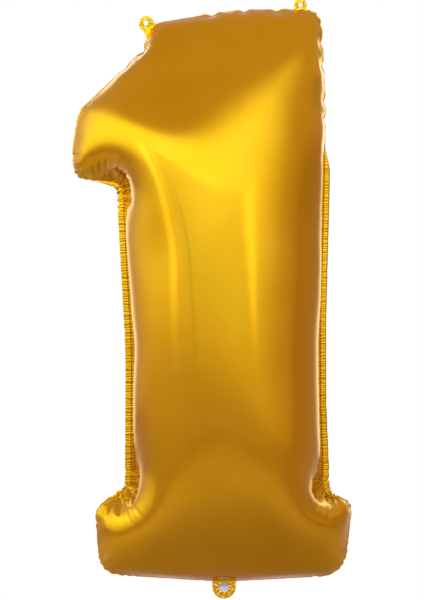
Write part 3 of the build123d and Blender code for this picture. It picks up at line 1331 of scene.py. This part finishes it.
@dataclass(frozen=True)
class ReleaseInk:
    """Matte band printed inside the valve so that its films don't weld together."""

    name: str
    colour: tuple[float, float, float, float] = (0.72, 0.72, 0.78, 1.0)

    def material(self, effects: FoilEffects) -> bpy.types.Material:
        """Build the material.

        Args:
            effects: the shared node groups.

        Returns:
            The material.
        """
        material = bpy.data.materials.new(self.name)
        material.use_nodes = True
        bench = NodeBench(material.node_tree)
        shader = bench.tree.nodes["Principled BSDF"]
        grain = bench.add("ShaderNodeGroup", node_tree=effects.grain)
        grain.inputs["Peel size"].default_value, grain.inputs["Cloud size"].default_value = 900.0, 400.0
        bench.join(bench.add("ShaderNodeTexCoord").outputs["Object"], grain.inputs["Coordinate"])
        tint = bench.add("ShaderNodeMix", data_type="RGBA")
        tint.inputs["A"].default_value = self.colour
        tint.inputs["B"].default_value = (0.6, 0.6, 0.66, 1.0)
        bench.join(grain.outputs["Clouds"], tint.inputs["Factor"])
        bench.join(tint.outputs["Result"], shader.inputs["Base Color"])
        bench.join(bench.fade(grain.outputs["Height"], -0.6, 0.6), shader.inputs["Roughness"])
        return material


@dataclass
class LightPanel:
    """A curved, feathered light panel or dark flag that stands round the balloon, seen only in its reflections."""

    name: str
    azimuths: tuple[float, float]
    heights: tuple[float, float]
    radiance: float
    side_feathers: tuple[float, float] = (0.12, 0.12)
    end_feathers: tuple[float, float] = (0.12, 0.12)
    distance: float = 2.4
    tint: tuple[float, float, float, float] = (1.0, 1.0, 1.0, 1.0)
    cover: float = 1.0

    def build(self) -> bpy.types.Object:
        """Make the panel. Azimuths are in degrees, 0 at the front and positive to the right.

        Returns:
            The panel.
        """
        columns, rows = 36, 6
        vertices, faces, uv = [], [], []
        for row in range(rows + 1):
            for column in range(columns + 1):
                share = column / columns
                azimuth = math.radians(self.azimuths[0] + (self.azimuths[1] - self.azimuths[0]) * share)
                z = self.heights[0] + (self.heights[1] - self.heights[0]) * row / rows
                vertices.append((self.distance * math.sin(azimuth), -self.distance * math.cos(azimuth), z))
                uv.append((share, row / rows))
        for row in range(rows):
            for column in range(columns):
                a = row * (columns + 1) + column
                faces.append((a, a + 1, a + columns + 2, a + columns + 1))
        panel = new_piece(self.name, np.array(vertices), faces)
        set_uv(panel, "panel", np.array(uv))
        panel.data.materials.append(self._glow())
        panel.visible_camera = False
        panel.visible_shadow = False
        return panel

    def _glow(self) -> bpy.types.Material:
        """Light that fades to clear at the panel's edges.

        Returns:
            The material.
        """
        material = bpy.data.materials.new(self.name)
        material.use_nodes = True
        bench = NodeBench(material.node_tree)
        bench.tree.nodes.remove(bench.tree.nodes["Principled BSDF"])
        split = bench.add("ShaderNodeSeparateXYZ")
        bench.join(bench.add("ShaderNodeUVMap", uv_map="panel").outputs["UV"], split.inputs[0])
        mask = None
        for axis, (first, last) in (("X", self.side_feathers), ("Y", self.end_feathers)):
            for low, high in ((0.0, first), (1.0, 1 - last)):
                edge = bench.fade(split.outputs[axis], low, high)
                mask = edge if mask is None else bench.combine("MULTIPLY", mask, edge)
        glow = bench.add("ShaderNodeEmission")
        glow.inputs["Color"].default_value = self.tint
        glow.inputs["Strength"].default_value = self.radiance
        mix = bench.add("ShaderNodeMixShader")
        bench.join(bench.combine("MULTIPLY", mask, self.cover), mix.inputs[0])
        bench.join(bench.add("ShaderNodeBsdfTransparent").outputs[0], mix.inputs[1])
        bench.join(glow.outputs[0], mix.inputs[2])
        bench.join(mix.outputs[0], bench.tree.nodes["Material Output"].inputs["Surface"])
        return material


@dataclass
class Studio:
    """Camera, floor, light panels and surroundings."""

    eye_height: float = 0.4576
    distance: float = 3.1
    view_height: float = 0.92
    floor_level: float = -0.35
    surround: tuple[float, float, float, float] = (0.70, 0.49, 0.55, 1.0)
    floor_tone: tuple[float, float, float, float] = (0.66, 0.56, 0.70, 1.0)
    # painted shadow: the darker floor tone right under the balloon, seen only in the balloon's reflections
    painted_shadow_tone: tuple[float, float, float, float] = (0.44, 0.35, 0.50, 1.0)
    panels: list[LightPanel] = field(
        default_factory=lambda: [
            LightPanel("main_panel", (-140, 72), (-0.30, 2.60), 1.85, (0.26, 0.30), (0.57, 0.22)),
            LightPanel("window", (-40, 27), (0.15, 1.30), 0.9, (0.03, 0.03), (0.3, 0.02), 2.3, cover=0.45),
            LightPanel("left_strip", (-62, -47), (0.10, 1.30), 2.4, (0.4, 0.2), (0.5, 0.1), 2.2, cover=0.6),
            LightPanel("right_strip", (27, 34), (0.25, 1.30), 2.4, (0.2, 0.4), (0.5, 0.1), 2.2, cover=0.6),
            LightPanel("top_strip", (-42, 36), (1.22, 1.32), 2.4, (0.1, 0.1), (0.3, 0.3), 2.15, cover=0.5),
            LightPanel("mullion", (-31, -26), (0.02, 0.85), 0.5, (0.4, 0.4), (0.3, 0.3), 2.1, cover=0.45),
            LightPanel(
                "right_flag", (66, 138), (-0.34, 1.50), 0.34, (0.3, 0.25), (0.1, 0.4), tint=(1.5, 0.95, 1.1, 1.0)
            ),
            LightPanel("back_panel", (128, 232), (-0.30, 2.40), 1.5, (0.2, 0.2), (0.12, 0.12), 2.6),
        ]
    )

    def build(self) -> None:
        """Set up the whole studio."""
        self._camera()
        self._floor()
        self._surroundings()
        for panel in self.panels:
            panel.build()
        bpy.context.scene.view_settings.view_transform = "Standard"

    def _camera(self) -> None:
        """A level camera straight in front."""
        data = bpy.data.cameras.new("camera")
        data.sensor_width = 36.0
        data.lens = 36.0 * self.distance / self.view_height
        camera = bpy.data.objects.new("camera", data)
        bpy.context.scene.collection.objects.link(camera)
        camera.location = (0.0, -self.distance, self.eye_height)
        camera.rotation_euler = (math.pi / 2, 0.0, 0.0)
        bpy.context.scene.camera = camera

    def _split_by_sight(self, bench: NodeBench, seen: object, lit: object, end: object) -> None:
        """Use one shader where the camera looks and another in reflections and light.

        Args:
            bench: the tree's bench.
            seen: output that the camera sees.
            lit: output for everything else.
            end: the input that takes them.
        """
        mix = bench.add("ShaderNodeMixShader")
        bench.join(bench.add("ShaderNodeLightPath").outputs["Is Camera Ray"], mix.inputs[0])
        bench.join(lit, mix.inputs[1])
        bench.join(seen, mix.inputs[2])
        bench.join(mix.outputs[0], end)

    def _floor(self) -> None:
        """A plain pale floor below the hanging balloon, white where the camera looks; in reflections its tone carries a
        painted shadow that darkens it towards the spot under the balloon.
        """
        bpy.ops.object.select_all(action="DESELECT")
        bpy.ops.mesh.primitive_circle_add(vertices=64, radius=9.0, fill_type="NGON", location=(0, 0, self.floor_level))
        floor = bpy.context.object
        floor.name = "floor"
        material = bpy.data.materials.new("pale_floor")
        material.use_nodes = True
        bench = NodeBench(material.node_tree)
        shader = bench.tree.nodes["Principled BSDF"]
        shader.inputs["Roughness"].default_value = 0.9
        reach = bench.add("ShaderNodeVectorMath", operation="LENGTH")
        bench.join(bench.add("ShaderNodeTexCoord").outputs["Object"], reach.inputs[0])
        # painted shadow: the reflected floor tone darkens from 1.1 m in to 0.2 m from the spot under the balloon
        shade = bench.add("ShaderNodeMix", data_type="RGBA")
        shade.inputs["A"].default_value = self.painted_shadow_tone
        shade.inputs["B"].default_value = self.floor_tone
        bench.join(bench.fade(reach.outputs["Value"], 0.2, 1.1), shade.inputs["Factor"])
        bench.join(shade.outputs["Result"], shader.inputs["Base Color"])
        white = bench.add("ShaderNodeEmission")
        self._split_by_sight(
            bench, white.outputs[0], shader.outputs[0], bench.tree.nodes["Material Output"].inputs["Surface"]
        )
        floor.data.materials.append(material)

    def _surroundings(self) -> None:
        """A white backdrop, with a dimmer room in the reflections."""
        world = bpy.data.worlds.new("studio")
        world.use_nodes = True
        bpy.context.scene.world = world
        bench = NodeBench(world.node_tree)
        room = bench.tree.nodes["Background"]
        room.inputs["Color"].default_value = self.surround
        white = bench.add("ShaderNodeBackground")
        white.inputs["Color"].default_value = (1.0, 1.0, 1.0, 1.0)
        self._split_by_sight(
            bench, white.outputs[0], room.outputs[0], bench.tree.nodes["World Output"].inputs["Surface"]
        )


def dress_frame_node(node: str, finish: bpy.types.Material) -> None:
    """Give a CAD node that stays in view its finish.

    Args:
        node: the node's name.
        finish: its material.
    """
    piece = frame["nodes"][node]
    piece.data.materials.clear()
    piece.data.materials.append(finish)


def main() -> None:
    """Build the balloon and its studio."""
    bag = BlownBag(FlatPattern(), EdgePleats())
    bag.build()
    LOG.info("bag: %d points, %d on the weld", len(bag.points), len(bag.weld))
    effects = FoilEffects()
    dome = GoldFoil("gold_film", Sheen.STRETCHED, pucker=0.0012).material(effects)
    margin = GoldFoil("gold_margin", Sheen.CRUMPLED, crimp=0.00022).material(effects)
    tab_foil = GoldFoil("gold_tab", Sheen.CRUMPLED, (0.86, 0.56, 0.03, 1.0), (0.78, 0.47, 0.02, 1.0), peel=0.00008)
    crumpled = tab_foil.material(effects)
    for side in Side:
        sheet = FoilSheet(side).build(bag, dome, margin)
        LOG.info("%s: %d faces", sheet.name, len(sheet.data.polygons))
    tabs = [
        PunchedTab("hanging_tab_left", "left_tab", "left_tab_fold", "hanging_hole_left", 0.0113, 0.0168, 0.004),
        PunchedTab(
            "hanging_tab_right", "right_tab", "right_tab_fold", "hanging_hole_right", 0.0098, 0.0122, 0.0035, 3.4
        ),
        PunchedTab("filling_tab", "filling_tab", "filling_tab_fold", "filling_mouth", 0.018, 0.009, 0.0075),
    ]
    for tab in tabs:
        for ply in tab.build(bag, crumpled):
            LOG.info("%s: %d faces", ply.name, len(ply.data.polygons))
    film = ClearFilm("valve_film").material(effects)
    for sheet in ValveFilms().build(film):
        LOG.info("%s: %d faces", sheet.name, len(sheet.data.polygons))
    dress_frame_node("valve_release_band", ReleaseInk("release_band").material(effects))
    Studio().build()


if __name__ == "__main__":
    main()
